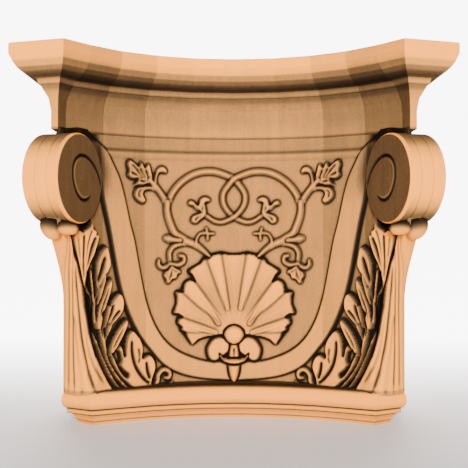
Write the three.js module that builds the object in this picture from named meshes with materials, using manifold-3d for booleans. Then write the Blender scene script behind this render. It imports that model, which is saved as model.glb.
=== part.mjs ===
// An ionic pilaster capital carved from one block, in millimetres.
// X runs across the front, Z up from the underside, and the front faces -Y.
// A concave front of equal flat facets carries a raised band that rises in a U
// and rolls over at each end into a volute. Inside the U are a scallop shell and
// scrolling stems, outside it acanthus leaves, with an abacus above and a
// moulded base below.
import * as THREE from 'three';
import { mergeVertices } from 'three/addons/utils/BufferGeometryUtils.js';
import Module from 'manifold-3d';

const wasm = await Module();
wasm.setup();

// Overall sizes.
const WIDTH = 300;
const BASE_TOP = 25;
const NECK_BOTTOM = 191;
const ABACUS_BOTTOM = 207;
const BACK = -50;
const PANEL_Y = 23.4;

// The concave front: flat facets round an upright axis in front of the block.
const FACET_COUNT = 4;
const FACET_TURN = THREE.MathUtils.degToRad(14.1);
const WALL_RADIUS = 138.6;
const FACET_LENGTH = 2 * WALL_RADIUS * Math.sin(FACET_TURN / 2);
const NECK_RECESS = 1.5;

// The block's corners, as [out from the centre, forward of the panel's middle].
const LOW_CORNER = [[99.4, 42], [108, 42], [116, 36], [118.4, 26]];
const HIGH_CORNER = [[118.7, 73.6], [120.5, 73], [122.2, 72.3], [123.7, 71.6]];
const FLARE_START = 88;
const FLARE_END = 142;
const FLARE_POWER = 1.7;
// Distances along the wall at which each corner leaves it, and the end of both.
const LOW_LEAVE = 110.6;
const HIGH_LEAVE = 148.4;
const CORNER_END = 154.4;
// How far to either side the skin is sampled for its outward direction.
const NORMAL_REACH = 6;

// The abacus: how far its horn reaches, and [height above its underside, part of the full projection].
const ABACUS_TOP_RADIUS = 115.3;
const HORN_LOW = [[118.7, 73.6], [123.7, 71.6]];
const HORN_HIGH = [[110.6, 96.8], [WIDTH / 2, 82.6]];
const ABACUS_PROFILE = [
  [0, 0], [12, 0], [20.2, 0.06], [24.3, 0.19], [26.4, 0.27], [30, 0.3], [30.6, 0.5],
  [34.5, 0.69], [37.6, 0.8], [41.9, 0.9], [48.1, 0.99], [55, 1], [56, 0.98],
];

// The base: [height, distance that it stands proud of its lowest edge].
const BASE_CORNER = [[99.4, 41], [112.5, 30.3]];
const BASE_MIDDLE = 10.5;
const BASE_STEPS = 5;
const BASE_PROFILE = [
  [0, 0], [2, 0], [2.6, 1], [5, 2.4], [7.8, 5.6], [8, 7], [11.4, 7], [11.8, 8.4],
  [13.6, 9.8], [17.4, 10.6], [21.4, 9.8], [23.8, 7.6], [25, 4],
];

// The volutes.
const VOLUTE_RADIUS = 30.8;
const VOLUTE_WIDTH = 27;
const VOLUTE_CENTRE = [104.3, 67.5, 173.6];
const VOLUTE_TURN = THREE.MathUtils.degToRad(20);
const VOLUTE_SIDES = 26;
const GROOVE_DEPTH = 1.2;

// How far each kind of carving stands off the skin.
const BAND_RISE = 2.5;
const STEM_RISE = 2.6;
const SIDE_STEM_RISE = 2.2;
const SMALL_LEAF_RISE = 2.4;
const ACANTHUS_RISE = 5.5;
const FOLD_RISE = 3;
const CHEEK_RISE = 5.5;
const CRESCENT_RISE = 8.5;
const DROP_RISE = 7;

// How far carving sinks into the block, so that the two are one solid, and the finest detail kept.
const ROOT = 5;
const FINEST = 0.03;

// ---------------------------------------------------------------- solids

function toSolid(geometry) {
  const bare = geometry.clone();
  bare.deleteAttribute('normal');
  bare.deleteAttribute('uv');
  const merged = mergeVertices(bare, 1e-4);
  return new wasm.Manifold(new wasm.Mesh({
    numProp: 3,
    vertProperties: new Float32Array(merged.attributes.position.array),
    triVerts: new Uint32Array(merged.index.array),
  }));
}

function toGeometry(solid) {
  const mesh = solid.getMesh();
  const geometry = new THREE.BufferGeometry();
  geometry.setAttribute('position', new THREE.BufferAttribute(mesh.vertProperties, mesh.numProp));
  geometry.setIndex(new THREE.BufferAttribute(mesh.triVerts, 1));
  geometry.computeVertexNormals();
  return geometry;
}

// A closed skin through rings of equal point count, with the given triangles as end caps.
function loft(rings, capTriangles) {
  const count = rings[0].length;
  const index = [];
  for (let ring = 0; ring + 1 < rings.length; ring += 1) {
    for (let i = 0; i < count; i += 1) {
      const a = ring * count + i;
      const b = ring * count + ((i + 1) % count);
      index.push(a, b, b + count, a, b + count, a + count);
    }
  }
  const last = (rings.length - 1) * count;
  for (const [a, b, c] of capTriangles) {
    index.push(a, c, b, last + a, last + b, last + c);
  }
  const geometry = new THREE.BufferGeometry().setFromPoints(rings.flat());
  geometry.setIndex(index);
  return geometry;
}

// Level rings stacked in height. Each is given by its right half, from the middle to the back.
function stack(levels) {
  const rings = levels.map(({ half, z }) => {
    const left = half.slice(1).reverse().map(([x, forward]) => [-x, forward]);
    return [...left, ...half].map(([x, forward]) => new THREE.Vector3(x, PANEL_Y - forward, z));
  });
  const outline = rings[0].map((p) => new THREE.Vector2(p.x, p.y));
  return toSolid(loft(rings, THREE.ShapeUtils.triangulateShape(outline, [])));
}

const mix = (a, b, t) => a + (b - a) * t;
const mixPoints = (a, b, t) => a.map((value, i) => mix(value, b[i], t));

// ------------------------------------------------------- the block's skin

function facetPoint(k, radius) {
  const angle = k * FACET_TURN;
  return [radius * Math.sin(angle), WALL_RADIUS - radius * Math.cos(angle)];
}

function frontPoints(radius) {
  return Array.from({ length: FACET_COUNT + 1 }, (_, k) => facetPoint(k, radius));
}

// The concave wall's point at a distance along it from the middle.
function wallPoint(along) {
  const k = Math.floor(along / FACET_LENGTH);
  return mixPoints(facetPoint(k, WALL_RADIUS), facetPoint(k + 1, WALL_RADIUS), along / FACET_LENGTH - k);
}

function flare(z) {
  const t = THREE.MathUtils.clamp((z - FLARE_START) / (FLARE_END - FLARE_START), 0, 1);
  return t ** FLARE_POWER;
}

function polyPoint(points, t) {
  const place = THREE.MathUtils.clamp(t, 0, 1) * (points.length - 1);
  const i = Math.min(Math.floor(place), points.length - 2);
  return mixPoints(points[i], points[i + 1], place - i);
}

// The block's plan at a height: along the wall, round the corner, to the side.
function skinPlan(along, z) {
  const low = along < LOW_LEAVE ? wallPoint(along)
    : polyPoint(LOW_CORNER, (along - LOW_LEAVE) / (CORNER_END - LOW_LEAVE));
  const high = along < HIGH_LEAVE ? wallPoint(along)
    : polyPoint(HIGH_CORNER, (along - HIGH_LEAVE) / (CORNER_END - HIGH_LEAVE));
  return mixPoints(low, high, flare(z));
}

function signedPlan(along, z) {
  const [x, forward] = skinPlan(Math.abs(along), z);
  return [Math.sign(along) * x, forward];
}

// The skin's point, raised along a normal taken over a few millimetres to either side.
function skinPoint(along, z, raise) {
  const [x, forward] = signedPlan(along, z);
  const before = signedPlan(along - NORMAL_REACH, z);
  const after = signedPlan(along + NORMAL_REACH, z);
  const length = Math.hypot(after[0] - before[0], after[1] - before[1]);
  const out = [-(after[1] - before[1]) / length, (after[0] - before[0]) / length];
  return new THREE.Vector3(x + out[0] * raise, PANEL_Y - (forward + out[1] * raise), z);
}

// --------------------------------------------------------- carved strokes

// A stem, lobe or rib laid on the skin. Its spine goes through [along, height, half width] points.
const ROUND_SECTION = [[1, -ROOT], [0.5, 1], [-0.5, 1], [-1, -ROOT]];
const CREASED_SECTION = [[1, -ROOT], [0.6, 1], [0, 0.4], [-0.6, 1], [-1, -ROOT]];

function stroke(points, height, steps, section = ROUND_SECTION) {
  const spine = new THREE.CatmullRomCurve3(points.map((p) => new THREE.Vector3(...p)), false, 'centripetal');
  const rings = [];
  for (let i = 0; i <= steps; i += 1) {
    const at = spine.getPoint(i / steps);
    const tangent = spine.getTangent(i / steps).setZ(0).normalize();
    rings.push(section.map(([across, up]) => skinPoint(
      at.x - tangent.y * across * at.z,
      at.y + tangent.x * across * at.z,
      up < 0 ? up : up * height,
    )));
  }
  const cap = Array.from({ length: section.length - 2 }, (_, i) => [0, i + 1, i + 2]);
  return toSolid(loft(rings, cap));
}

const mirrored = (points) => points.map(([along, z, half]) => [-along, z, half]);

function strokePair(points, height, steps, section) {
  const left = stroke(mirrored(points), height, steps, section);
  return stroke(points, height, steps, section).add(left);
}

function join(solids) {
  return solids.reduce((whole, solid) => whole.add(solid));
}

// Closed pockets left between crossing carvings are solid wood: only the outer skin is kept,
// without the slivers that the joins leave.
function outerSkin(solid) {
  return solid.decompose().reduce((a, b) => (b.volume() > a.volume() ? b : a)).asOriginal().simplify(FINEST);
}

// ------------------------------------------------------------- sub-parts

function block() {
  const corner = [0, 0.25, 0.5, 0.75, 1].map((t) => mix(LOW_LEAVE, CORNER_END, t));
  const heights = [BASE_TOP - 1, 60, FLARE_START, 100, 110, 118, 126, 134, FLARE_END, NECK_BOTTOM];
  const distances = [0, 1, 2, 3].map((k) => k * FACET_LENGTH).concat(corner);
  return stack(heights.map((z) => {
    const front = distances.map((along) => skinPlan(along, z));
    const [sideX] = front[front.length - 1];
    return { z, half: [...front, [sideX, 0], [sideX, BACK]] };
  }));
}

function neck() {
  const half = frontPoints(WALL_RADIUS + NECK_RECESS).concat([[118, 70], [122, 70], [122, BACK]]);
  return stack([NECK_BOTTOM - 1, ABACUS_BOTTOM + 1].map((z) => ({ half, z })));
}

function abacus() {
  return stack(ABACUS_PROFILE.map(([up, projection]) => {
    const low = [...frontPoints(WALL_RADIUS), ...HORN_LOW];
    const high = [...frontPoints(ABACUS_TOP_RADIUS), ...HORN_HIGH];
    const half = low.map((point, i) => mixPoints(point, high[i], projection));
    const [sideX] = half[half.length - 1];
    return { half: [...half, [sideX, BACK]], z: ABACUS_BOTTOM + up };
  }));
}

// The base's front is a gentler arc than the wall, rising from its middle to its corners.
function base() {
  const [cornerX, cornerForward] = BASE_CORNER[0];
  const rise = cornerForward - BASE_MIDDLE;
  const radius = (cornerX ** 2 + rise ** 2) / (2 * rise);
  const sweep = Math.asin(cornerX / radius);
  return stack(BASE_PROFILE.map(([z, proud]) => {
    const half = [];
    for (let i = 0; i <= BASE_STEPS; i += 1) {
      const angle = (sweep * i) / BASE_STEPS;
      const inner = radius - proud;
      const shift = i === BASE_STEPS ? proud * 0.6 : 0;
      half.push([inner * Math.sin(angle) + shift, BASE_MIDDLE + radius - inner * Math.cos(angle)]);
    }
    const [sideX, sideForward] = BASE_CORNER[1];
    half.push([sideX + proud, sideForward + proud * 0.7]);
    half.push([sideX + proud, BACK]);
    return { half, z };
  }));
}

// A roll with two fine grooves round it and a spiral groove cut in each of its round faces.
function volute() {
  const r = VOLUTE_RADIUS;
  const w = VOLUTE_WIDTH;
  const profile = [[0, 0], [r - 0.8, 0], [r, 0.8]];
  for (const groove of [w / 3, (2 * w) / 3]) {
    profile.push([r, groove - 0.7], [r - 0.7, groove], [r, groove + 0.7]);
  }
  profile.push([r, w - 0.8], [r - 0.8, w], [0, w]);
  const outline = profile.map(([radius, up]) => new THREE.Vector2(radius, up));
  return [new THREE.LatheGeometry(outline, VOLUTE_SIDES), spiralGroove(0), spiralGroove(w)];
}

// The groove starts below the eye, runs once round it and leaves at the rim.
function spiralGroove(height) {
  const turnSteps = 16;
  const halfWidth = 0.9;
  const inner = [];
  const outer = [];
  for (let i = 0; i <= turnSteps; i += 1) {
    const t = i / turnSteps;
    const angle = mix(-0.7, -6.9, t);
    const radius = VOLUTE_RADIUS * mix(0.42, 0.52, t) + VOLUTE_RADIUS * 0.52 * t ** 6;
    const width = halfWidth * Math.min(1, 0.2 + t * 6);
    inner.push(new THREE.Vector2((radius - width) * Math.cos(angle), (radius - width) * Math.sin(angle)));
    outer.push(new THREE.Vector2((radius + width) * Math.cos(angle), (radius + width) * Math.sin(angle)));
  }
  const shape = new THREE.Shape([...inner, ...outer.reverse()]);
  const groove = new THREE.ExtrudeGeometry(shape, { depth: 2 * GROOVE_DEPTH, bevelEnabled: false });
  groove.rotateX(-Math.PI / 2);
  groove.translate(0, height - GROOVE_DEPTH, 0);
  return groove;
}

// The same geometry on the other side of the middle, with its faces turned to point out again.
function reflected(geometry) {
  const mirror = mergeVertices(geometry.clone()).scale(-1, 1, 1);
  const { array } = mirror.index;
  for (let i = 0; i < array.length; i += 3) {
    [array[i], array[i + 1]] = [array[i + 1], array[i]];
  }
  return mirror;
}

// The roll's axis points outwards and a little back, so that it lines up with the abacus horn.
function placedVolute() {
  const [x, forward, z] = VOLUTE_CENTRE;
  const axis = new THREE.Vector3(Math.cos(VOLUTE_TURN), Math.sin(VOLUTE_TURN), 0);
  const up = new THREE.Vector3(0, 0, 1);
  const across = new THREE.Vector3().crossVectors(axis, up);
  const place = new THREE.Matrix4().makeBasis(across, axis, up.clone());
  place.setPosition(x, PANEL_Y - forward, z);
  const right = volute().map((geometry) => geometry.applyMatrix4(place));
  const rolls = [right, right.map(reflected)].map((side) => {
    const [roll, near, far] = side.map(toSolid);
    return roll.subtract(near).subtract(far);
  });
  return join(rolls);
}

// The raised band: flat, of even width below, and widening as it climbs to the volute.
function band() {
  const spine = [
    [0, 32.5, 7], [20, 34, 7], [39, 39, 7.6], [54, 49, 8], [66.5, 64, 8], [75.5, 84, 8.2],
    [81.5, 108, 8.6], [87.5, 138, 9], [93, 163, 9.5], [97, 180, 8.5],
  ];
  const section = [[1, -ROOT], [1, 0.8], [0.85, 1], [-0.85, 1], [-1, 0.8], [-1, -ROOT]];
  return strokePair(spine, BAND_RISE, 20, section);
}

function acanthus() {
  const lobes = [
    [[118, 94, 2], [117, 112, 6], [114, 130, 6.5], [111, 147, 0.5]],
    [[116, 94, 2], [111, 112, 4.5], [107, 127, 4.5], [104.5, 139, 0.5]],
    [[121, 96, 2], [125, 118, 4], [126, 132, 4.5], [124.5, 139, 0.6]],
    [[102, 72, 2], [101, 92, 5], [99, 112, 6.5], [97.5, 127, 0.5]],
    [[101, 76, 2], [98, 90, 4], [95.5, 103, 0.5]],
    [[98, 58, 2], [93, 72, 4.5], [89, 84, 4.5], [87, 93, 0.5]],
    [[98, 44, 2], [91, 56, 4], [85, 66, 4], [81.5, 73, 0.5]],
    [[62, 25, 3], [76, 36, 6], [79, 50, 7], [77, 65, 0.6]],
    [[64, 27, 2], [70, 36, 4.5], [70, 47, 4], [69, 55, 0.5]],
    [[61, 25, 1.5], [62, 34, 4], [62.5, 46, 0.5]],
  ];
  return join(lobes.map((points) => strokePair(points, ACANTHUS_RISE, 3, CREASED_SECTION)));
}

// Upright folds that sweep from the base up round the corner to the volute.
function folds() {
  const ridges = [
    [[84, 24, 2.2], [99, 45, 3], [107, 72, 4], [112, 98, 1]],
    [[95, 24, 3], [107, 46, 3.5], [115, 74, 4], [120, 104, 3], [121, 122, 0.8]],
    [[108, 24, 4], [118, 52, 4.5], [124, 86, 4.5], [131, 122, 4.5], [135, 152, 4]],
    [[124, 24, 4], [131, 60, 4.5], [134, 100, 4.5], [144, 151, 4]],
    [[139, 24, 4], [143, 60, 4], [145, 100, 4], [152, 150, 3]],
  ];
  return join(ridges.map((points) => strokePair(points, FOLD_RISE, 4)));
}

// The leaf's tip curls over under the volute as three small round lobes.
function curledTips() {
  const tips = [[112, 73, 140.3, 8], [122, 73, 137.4, 9.5], [127.5, 70, 141, 6]];
  return join(tips.flatMap(([x, forward, z, size]) => [1, -1].map((side) => {
    const ball = new THREE.SphereGeometry(size, 7, 5);
    ball.scale(0.8, 1, 0.6);
    ball.translate(side * x, PANEL_Y - forward, z);
    return toSolid(ball);
  })));
}

function stems() {
  const main = [[20, 118, 2.2], [28, 127, 2], [40, 130.5, 2], [47, 139, 2], [51, 154, 2], [49.5, 158, 2]];
  const ring = [
    [49.5, 157, 2], [45, 168, 2], [31, 180.5, 2], [14, 182.5, 2], [2.5, 174, 1.9], [-8, 162, 1.8],
    [-6, 150, 1.8], [4, 145, 1.7], [16, 146, 1.6], [24, 152, 1.4], [21, 160, 1.2],
  ];
  const upper = [[49.5, 156, 2], [56, 166, 2], [66, 178, 2.2]];
  const lower = [[28, 127, 1.6], [42, 126.5, 1.6], [49, 120, 1.6], [50.5, 112, 1.6]];
  const curl = [[55, 165, 1.5], [54, 181, 1.4], [59, 184, 1.4], [64, 180, 1.2]];
  const ringLeft = mirrored(ring);
  return join([
    strokePair(main, STEM_RISE, 8), strokePair(upper, STEM_RISE, 3),
    stroke(ring, STEM_RISE, 15), stroke(ringLeft, SIDE_STEM_RISE, 15),
    strokePair(lower, SIDE_STEM_RISE, 5), strokePair(curl, SIDE_STEM_RISE, 5),
  ]);
}

function smallLeaves() {
  const leaves = [
    [[64, 176, 2], [72, 182, 5], [81, 189, 0.5]],
    [[64, 176, 2], [74, 178, 4], [82, 179, 0.5]],
    [[64, 177, 2], [68, 184, 3.5], [71, 189, 0.5]],
    [[64, 175, 1.5], [71, 172, 3.5], [77, 171, 0.5]],
    [[22, 150, 1.5], [28, 150, 3.5], [31, 157, 0.6]],
    [[22, 150, 1.5], [26, 147, 3], [29.5, 144.5, 0.5]],
    [[50, 114, 1.5], [49, 107, 4], [50.5, 100, 0.5]],
    [[50, 114, 1.5], [45, 110, 3], [39, 111, 0.5]],
    [[50, 114, 1.5], [54, 110, 3], [58.5, 112, 0.5]],
    [[27, 129, 1], [23, 134, 3], [14.5, 136, 0.5]],
    [[27, 129, 1], [22, 134, 3], [21, 140.5, 0.5]],
    [[48, 128, 0.8], [49.5, 132.5, 2.5], [48, 138, 0.5]],
  ];
  return join(leaves.map((points) => strokePair(points, SMALL_LEAF_RISE, 2)));
}

// The shell's edge from the middle rib round to the lowest lobe: [degrees from upright, radius, height].
// Broad hollow ribs alternate with narrow rounded ones, and each set steps back from the last.
const SHELL_HINGE = 60;
const SHELL_EDGE = [
  [0, 61, 2.2], [9, 62.5, 4], [11, 62.5, 1.4], [15, 62.5, 3.4], [18, 62, 1.4], [21, 62, 4], [29, 59.5, 2.2],
  [36.5, 59.5, 4], [38, 51, 1.4], [43, 54.5, 3.4], [50, 51.5, 1.4], [54, 56, 4], [62, 53.5, 2.2],
  [71, 50, 4], [73, 43, 1], [78, 45, 3.4], [88, 38.5, 2.2], [104, 32.6, 3.4],
];

// A fan of stations round the hinge, each a closed loop from the hinge to the edge and back below.
function shell() {
  const left = SHELL_EDGE.slice(1).reverse().map(([angle, radius, height]) => [-angle, radius, height]);
  const rings = [...left, ...SHELL_EDGE].map(([degrees, radius, height]) => {
    const angle = THREE.MathUtils.degToRad(degrees);
    const loop = [[0.1, -ROOT], [1, -ROOT], [1, height], [0.6, mix(3, height, 0.7)], [0.1, 3]];
    return loop.map(([part, raise]) => skinPoint(
      radius * part * Math.sin(angle),
      SHELL_HINGE + radius * part * Math.cos(angle),
      raise,
    ));
  });
  return toSolid(loft(rings, [[0, 1, 2], [0, 2, 3], [0, 3, 4]]));
}

// The hinge ball, the two cheeks under it, the crescent ring and the hanging drop.
function pendant() {
  const ball = new THREE.SphereGeometry(8, 10, 7);
  ball.translate(0, PANEL_Y - 5, SHELL_HINGE);
  const cheek = [[4, 55, 3], [13, 50.5, 8], [14, 44, 6], [13, 40, 1]];
  const crescent = [[-11, 45, 1], [-8, 41, 2.4], [0, 40, 2.8], [8, 41, 2.4], [11, 45, 1]];
  const drop = [[0, 54, 2.5], [0, 46, 4], [0, 37, 5], [0, 30, 3.6], [0, 26, 0.5]];
  return join([
    toSolid(ball), strokePair(cheek, CHEEK_RISE, 4),
    stroke(crescent, CRESCENT_RISE, 6), stroke(drop, DROP_RISE, 5),
  ]);
}

// ------------------------------------------------------------- assembly

const wood = new THREE.MeshStandardMaterial({ color: 0xd8ae7e, roughness: 0.62, metalness: 0 });

const carving = outerSkin(join([
  block(), neck(), abacus(), base(), placedVolute(), band(), acanthus(), folds(), curledTips(),
  stems(), smallLeaves(), shell(), pendant(),
]));

const capital = new THREE.Mesh(toGeometry(carving), wood);
capital.name = 'capital';

const group = new THREE.Group();
group.add(capital);

export default group;
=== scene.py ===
"""An ionic pilaster capital, carved from one block of pale hardwood, with painted shade darkening its hollows.

Sizes are in millimetres until a mesh is made. X runs across the front, Z up from the underside,
and "forward" is measured towards the viewer from the middle of the concave wall. A point of the
carving is given as (along, level): its distance along the wall from the middle, and its height.
"""
import math

import bpy
import numpy as np
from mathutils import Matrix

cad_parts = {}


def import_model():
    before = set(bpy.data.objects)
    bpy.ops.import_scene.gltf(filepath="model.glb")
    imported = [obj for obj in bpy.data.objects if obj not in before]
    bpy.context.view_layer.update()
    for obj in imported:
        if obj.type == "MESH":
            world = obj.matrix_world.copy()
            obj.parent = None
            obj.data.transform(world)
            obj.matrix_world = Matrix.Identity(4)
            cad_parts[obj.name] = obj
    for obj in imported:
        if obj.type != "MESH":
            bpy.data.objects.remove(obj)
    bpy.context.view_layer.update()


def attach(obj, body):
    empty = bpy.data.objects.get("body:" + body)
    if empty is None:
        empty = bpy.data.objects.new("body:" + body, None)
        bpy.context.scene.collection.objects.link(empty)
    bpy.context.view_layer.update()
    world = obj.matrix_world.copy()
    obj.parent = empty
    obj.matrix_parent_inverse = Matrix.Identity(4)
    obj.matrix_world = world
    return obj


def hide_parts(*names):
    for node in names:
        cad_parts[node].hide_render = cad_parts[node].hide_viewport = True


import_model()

# ------------------------------------------------------------------ sizes

MM_PER_METRE = 1000
PANEL_Y = 23.4
FACET_TURN = math.radians(14.1)
WALL_RADIUS = 138.6
FACET_LENGTH = 2 * WALL_RADIUS * math.sin(FACET_TURN / 2)
LOW_CORNER = np.array([[99.4, 42], [108, 42], [116, 36], [118.4, 26]])
HIGH_CORNER = np.array([[118.7, 73.6], [120.5, 73], [122.2, 72.3], [123.7, 71.6]])
LOW_LEAVE, HIGH_LEAVE, CORNER_END = 110.6, 148.4, 154.4
FLARE_START, FLARE_END, FLARE_POWER = 88, 142, 1.7
BACK = -50
BODY_BOTTOM, BODY_TOP = 22, 208
NECK_LEVEL = 190.8
COLUMN_STEP, ROW_STEP = 0.5, 0.645

VOLUTE_CENTRE = np.array([104.3, 67.5, 173.6])
VOLUTE_RADIUS = 30.8
VOLUTE_WIDTH = 27
VOLUTE_TURN = math.radians(20)

TOP = 263
ABACUS_HEIGHT = 56.5
ABACUS_TOP_RADIUS = 115.3
HORN_LOW = np.array([[118.7, 73.6], [123.7, 71.6]])
HORN_HIGH = np.array([[110.6, 96.8], [150, 82.6]])

BASE_HEIGHT = 25
BASE_CORNER = np.array([[99.4, 41], [112.5, 30.3]])
BASE_MIDDLE = 10.5

TIP_LEVEL = 140.4

CAMERA_DISTANCE = 700
CAMERA_HEIGHT = 0.1357
CAMERA_LENS = 71.54


def smooth(x):
    """Smoothstep: 3x^2 - 2x^3 between 0 and 1, flat outside."""
    x = np.clip(x, 0, 1)
    return x * x * (3 - 2 * x)


def bell(x, width):
    """Bell curve: exp(-(x / width)^2)."""
    return np.exp(-((x / width) ** 2))


# ------------------------------------------------------------------- skin


def wall_plan(along):
    """The wall's point at a distance along it: chords of equal angle on a circle."""
    k = np.floor(along / FACET_LENGTH)
    part = (along / FACET_LENGTH - k)[..., None]

    def corner(index):
        angle = index * FACET_TURN
        return WALL_RADIUS * np.stack([np.sin(angle), 1 - np.cos(angle)], -1)

    return corner(k) * (1 - part) + corner(k + 1) * part


def line_plan(points, part):
    """The point at a part, 0 to 1, of a line through the given points, each span taking an equal share."""
    place = np.clip(part, 0, 1) * (len(points) - 1)
    i = np.minimum(place.astype(int), len(points) - 2)
    rest = (place - i)[..., None]
    return points[i] * (1 - rest) + points[i + 1] * rest


def skin_plan(along, level):
    """The block's plan: low and high outlines mixed by ((level - start) / (end - start)) to a power."""
    out = np.abs(along)
    low_part = (out - LOW_LEAVE) / (CORNER_END - LOW_LEAVE)
    high_part = (out - HIGH_LEAVE) / (CORNER_END - HIGH_LEAVE)
    low = np.where((out < LOW_LEAVE)[..., None], wall_plan(out), line_plan(LOW_CORNER, low_part))
    high = np.where((out < HIGH_LEAVE)[..., None], wall_plan(out), line_plan(HIGH_CORNER, high_part))
    flare = np.clip((level - FLARE_START) / (FLARE_END - FLARE_START), 0, 1) ** FLARE_POWER
    plan = low * (1 - flare[..., None]) + high * flare[..., None]
    return np.stack([plan[..., 0] * np.sign(along), plan[..., 1]], -1)


def skin_normal(along, level, reach=6):
    """The level outward direction, from the chord between points a few millimetres to either side."""
    chord = skin_plan(along + reach, level) - skin_plan(along - reach, level)
    chord = chord / np.linalg.norm(chord, axis=-1, keepdims=True)
    return np.stack([-chord[..., 1], chord[..., 0]], -1)


# ----------------------------------------------------------------- relief


def curve_through(points, closed=False, per_span=6):
    """Catmull-Rom curve: each span is the cubic whose end slopes are half its neighbours' chord."""
    p = np.asarray(points, float)
    if closed:
        p = np.vstack([p[-1:], p, p[:2]])
    else:
        p = np.vstack([2 * p[0] - p[1], p, 2 * p[-1] - p[-2]])
    a, b, c, d = p[:-3], p[1:-2], p[2:-1], p[3:]
    t = np.linspace(0, 1, per_span, endpoint=False)[:, None, None]
    q = 2 * b + (c - a) * t + (2 * a - 5 * b + 4 * c - d) * t**2 + (3 * b - a - 3 * c + d) * t**3
    q = 0.5 * q.transpose(1, 0, 2).reshape(-1, p.shape[1])
    return np.vstack([q, c[-1:]])


def nearest(curve, along, level):
    """Each grid point's distance to a line, which side it is on, the line's half width there,
    and the part of the line's length at the closest point."""
    start = curve[:-1, :2]
    step = curve[1:, :2] - start
    length = np.sqrt((step**2).sum(1)) + 1e-9
    x = along[..., None] - start[:, 0]
    y = level[..., None] - start[:, 1]
    part = np.clip((x * step[:, 0] + y * step[:, 1]) / length**2, 0, 1)
    square = (x - part * step[:, 0]) ** 2 + (y - part * step[:, 1]) ** 2
    k = square.argmin(-1)
    near = np.take_along_axis(part, k[..., None], -1)[..., 0]
    distance = np.sqrt(np.take_along_axis(square, k[..., None], -1)[..., 0])
    cross = np.take_along_axis(step[:, 0] * y - step[:, 1] * x, k[..., None], -1)[..., 0]
    half = curve[k, -1] * (1 - near) + curve[k + 1, -1] * near
    reached = np.concatenate([[0], np.cumsum(length)])
    return distance, np.sign(cross), half, (reached[k] + near * length[k]) / reached[-1]


def stem(u, width, part):
    """Peaked round section: half (1 - u^2)^0.75 and half 1 - |u|."""
    u = np.clip(np.abs(u), 0, 1)
    return 0.5 * (1 - u**2) ** 0.75 + 0.5 * (1 - u)


def domed(u, width, part):
    """Round section: (1 - u^2)^0.5."""
    return np.sqrt(1 - np.clip(np.abs(u), 0, 1) ** 2)


def creased(u, width, part):
    """Flat section with a V down its middle, deepest halfway along."""
    middle = 0.34 * bell(u, 0.24) * np.sin(math.pi * np.clip(part, 0, 1)) ** 0.5
    return smooth((1 - np.abs(u)) * width / 1.1) * (1 - middle)


def rimmed(u, width, part):
    """A raised rim near each edge: exp(-((|u| - 0.62) / 0.24)^2), shallow between them."""
    u = np.abs(u)
    return np.clip(bell(u - 0.62, 0.24), 0.25 * (u < 0.6), 1) * smooth((1 - u) / 0.2)


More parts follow.
